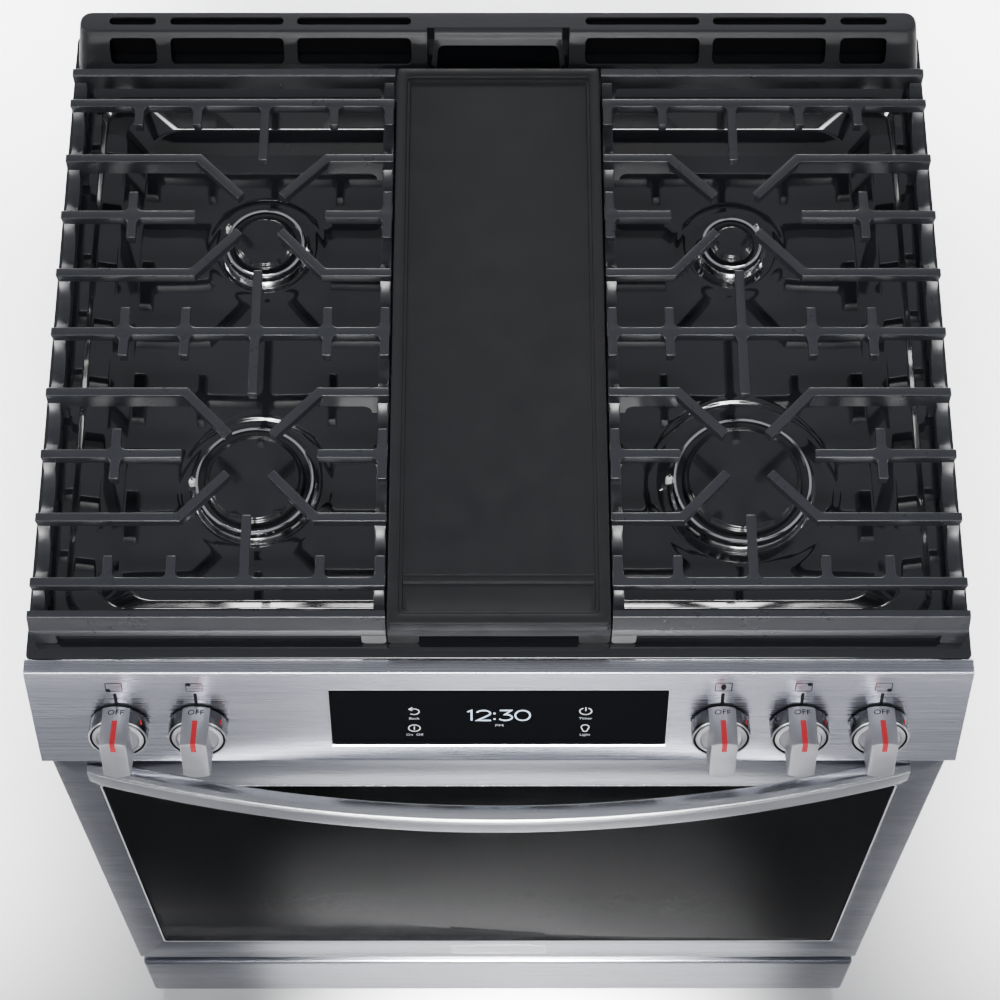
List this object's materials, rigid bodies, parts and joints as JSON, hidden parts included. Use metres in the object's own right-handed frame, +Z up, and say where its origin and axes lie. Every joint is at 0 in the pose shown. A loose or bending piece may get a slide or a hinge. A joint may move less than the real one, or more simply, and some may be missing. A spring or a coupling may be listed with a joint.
{
  "type": "gas range",
  "caption": "Freestanding gas range: sealed-burner cooktop with cast grates and griddle, sloping stainless control panel, windowed drop-down oven door and storage drawer.",
  "frame": {"origin": "on the floor, under the middle of the whole range", "axes": "+X to the user's right, +Y towards the wall behind, +Z up; the oven door faces -Y"},
  "size_m": [0.7588, 0.701, 0.9456],
  "materials": {
    "stainless": "brushed along X, satin",
    "black_enamel": "glossy black porcelain enamel",
    "grate_iron": "fine-grained dark grey enamel over cast iron",
    "griddle_iron": "matte seasoned cast iron",
    "burner_aluminium": "machined, bright",
    "cap_enamel": "satin black enamel",
    "oven_enamel": "dark blue-grey speckled porcelain enamel",
    "dark_glass": "polished, tinted nearly black",
    "clear_glass": "clear, heat-resistant",
    "side_paint": "satin grey paint",
    "galvanised": "zinc-coated sheet and tube",
    "rack_chrome": "bright plated wire",
    "gasket_fibre": "woven glass-fibre rope",
    "board_plastic": "dark moulded box",
    "foot_plastic": "black moulded nylon"
  },
  "bodies": {
    "body": {"bake_burner": "galvanised", "base_pan": "galvanised", "broil_burner": "rack_chrome", "burner_head_centre": "burner_aluminium", "burner_head_left_front": "burner_aluminium", "burner_head_left_rear": "burner_aluminium", "burner_head_right_front": "burner_aluminium", "burner_head_right_rear": "burner_aluminium", "control_board": "board_plastic", "control_panel": "stainless", "cooktop": "black_enamel", "display_glass": "dark_glass", "fan_cover": "oven_enamel", "fan_motor": "galvanised", "front_frame": "oven_enamel", "gas_manifold": "galvanised", "left_drawer_rail": "galvanised", "left_hinge_arm": "galvanised", "left_side_panel": "side_paint", "leveling_leg_front_left": "foot_plastic", "leveling_leg_front_right": "foot_plastic", "leveling_leg_rear_left": "foot_plastic", "leveling_leg_rear_right": "foot_plastic", "lower_oven_rack": "rack_chrome", "oven_cavity": "oven_enamel", "oven_lamp": "clear_glass", "pressure_regulator": "galvanised", "rear_panel": "galvanised", "right_drawer_rail": "galvanised", "right_hinge_arm": "galvanised", "right_side_panel": "side_paint", "upper_oven_rack": "rack_chrome", "vent_trim": "black_enamel"},
    "door": {"door_skin": "stainless", "door_outer_glass": "dark_glass", "door_liner": "oven_enamel", "door_inner_glass": "clear_glass", "door_gasket": "gasket_fibre", "door_handle": "stainless"},
    "drawer": {"drawer_front": "stainless", "drawer_pan": "galvanised"},
    "left_grate": {"left_grate": "grate_iron"},
    "right_grate": {"right_grate": "grate_iron"},
    "griddle": {"griddle": "griddle_iron"},
    "fan": {"convection_fan": "rack_chrome"},
    "cap_left_front": {"burner_cap_left_front": "cap_enamel"},
    "cap_left_rear": {"burner_cap_left_rear": "cap_enamel"},
    "cap_right_front": {"burner_cap_right_front": "cap_enamel"},
    "cap_right_rear": {"burner_cap_right_rear": "cap_enamel"},
    "cap_centre": {"burner_cap_centre": "cap_enamel"},
    "stem_left_front": {"valve_stem_left_front": "galvanised"},
    "knob_left_front": {"knob_left_front": "stainless"},
    "stem_left_rear": {"valve_stem_left_rear": "galvanised"},
    "knob_left_rear": {"knob_left_rear": "stainless"},
    "stem_centre": {"valve_stem_centre": "galvanised"},
    "knob_centre": {"knob_centre": "stainless"},
    "stem_right_rear": {"valve_stem_right_rear": "galvanised"},
    "knob_right_rear": {"knob_right_rear": "stainless"},
    "stem_right_front": {"valve_stem_right_front": "galvanised"},
    "knob_right_front": {"knob_right_front": "stainless"}
  },
  "joints": [
    {"name": "door_hinge", "type": "hinge", "parent": "body", "child": "door", "pos_m": [0, -0.2675, 0.1931], "axis": [1, 0, 0], "range_deg": [0, 90], "stiffness_Nm_per_rad": 14, "springref_deg": -14.32},
    {"name": "drawer_slide", "type": "slide", "parent": "body", "child": "drawer", "axis": [0, -1, 0], "range_m": [0, 0.35]},
    {"name": "left_grate_lift", "type": "slide", "parent": "body", "child": "left_grate", "axis": [0, 0, 1], "range_m": [0, 0.12]},
    {"name": "right_grate_lift", "type": "slide", "parent": "body", "child": "right_grate", "axis": [0, 0, 1], "range_m": [0, 0.12]},
    {"name": "griddle_lift", "type": "slide", "parent": "body", "child": "griddle", "axis": [0, 0, 1], "range_m": [0, 0.12]},
    {"name": "cap_lift_left_front", "type": "slide", "parent": "body", "child": "cap_left_front", "axis": [0, 0, 1], "range_m": [0, 0.02]},
    {"name": "cap_lift_left_rear", "type": "slide", "parent": "body", "child": "cap_left_rear", "axis": [0, 0, 1], "range_m": [0, 0.02]},
    {"name": "cap_lift_right_front", "type": "slide", "parent": "body", "child": "cap_right_front", "axis": [0, 0, 1], "range_m": [0, 0.02]},
    {"name": "cap_lift_right_rear", "type": "slide", "parent": "body", "child": "cap_right_rear", "axis": [0, 0, 1], "range_m": [0, 0.02]},
    {"name": "cap_lift_centre", "type": "slide", "parent": "body", "child": "cap_centre", "axis": [0, 0, 1], "range_m": [0, 0.003]},
    {"name": "push_left_front", "type": "slide", "parent": "body", "child": "stem_left_front", "axis": [0, 0.9588, -0.284], "range_m": [0, 0.0016], "stiffness_N_per_m": 1000, "springref_m": -0.004},
    {"name": "turn_left_front", "type": "hinge", "parent": "stem_left_front", "child": "knob_left_front", "pos_m": [-0.309, -0.28582, 0.84316], "axis": [0, -0.9588, 0.284], "range_deg": [0, 220]},
    {"name": "push_left_rear", "type": "slide", "parent": "body", "child": "stem_left_rear", "axis": [0, 0.9588, -0.284], "range_m": [0, 0.0016], "stiffness_N_per_m": 1000, "springref_m": -0.004},
    {"name": "turn_left_rear", "type": "hinge", "parent": "stem_left_rear", "child": "knob_left_rear", "pos_m": [-0.2445, -0.28582, 0.84316], "axis": [0, -0.9588, 0.284], "range_deg": [0, 220]},
    {"name": "push_centre", "type": "slide", "parent": "body", "child": "stem_centre", "axis": [0, 0.9588, -0.284], "range_m": [0, 0.0016], "stiffness_N_per_m": 1000, "springref_m": -0.004},
    {"name": "turn_centre", "type": "hinge", "parent": "stem_centre", "child": "knob_centre", "pos_m": [0.1805, -0.28582, 0.84316], "axis": [0, -0.9588, 0.284], "range_deg": [0, 220]},
    {"name": "push_right_rear", "type": "slide", "parent": "body", "child": "stem_right_rear", "axis": [0, 0.9588, -0.284], "range_m": [0, 0.0016], "stiffness_N_per_m": 1000, "springref_m": -0.004},
    {"name": "turn_right_rear", "type": "hinge", "parent": "stem_right_rear", "child": "knob_right_rear", "pos_m": [0.2448, -0.28582, 0.84316], "axis": [0, -0.9588, 0.284], "range_deg": [0, 220]},
    {"name": "push_right_front", "type": "slide", "parent": "body", "child": "stem_right_front", "axis": [0, 0.9588, -0.284], "range_m": [0, 0.0016], "stiffness_N_per_m": 1000, "springref_m": -0.004},
    {"name": "turn_right_front", "type": "hinge", "parent": "stem_right_front", "child": "knob_right_front", "pos_m": [0.309, -0.28582, 0.84316], "axis": [0, -0.9588, 0.284], "range_deg": [0, 220]},
    {"name": "fan_spin", "type": "hinge", "parent": "body", "child": "fan", "pos_m": [0, 0.2395, 0.52], "axis": [0, 1, 0], "continuous": true}
  ]
}
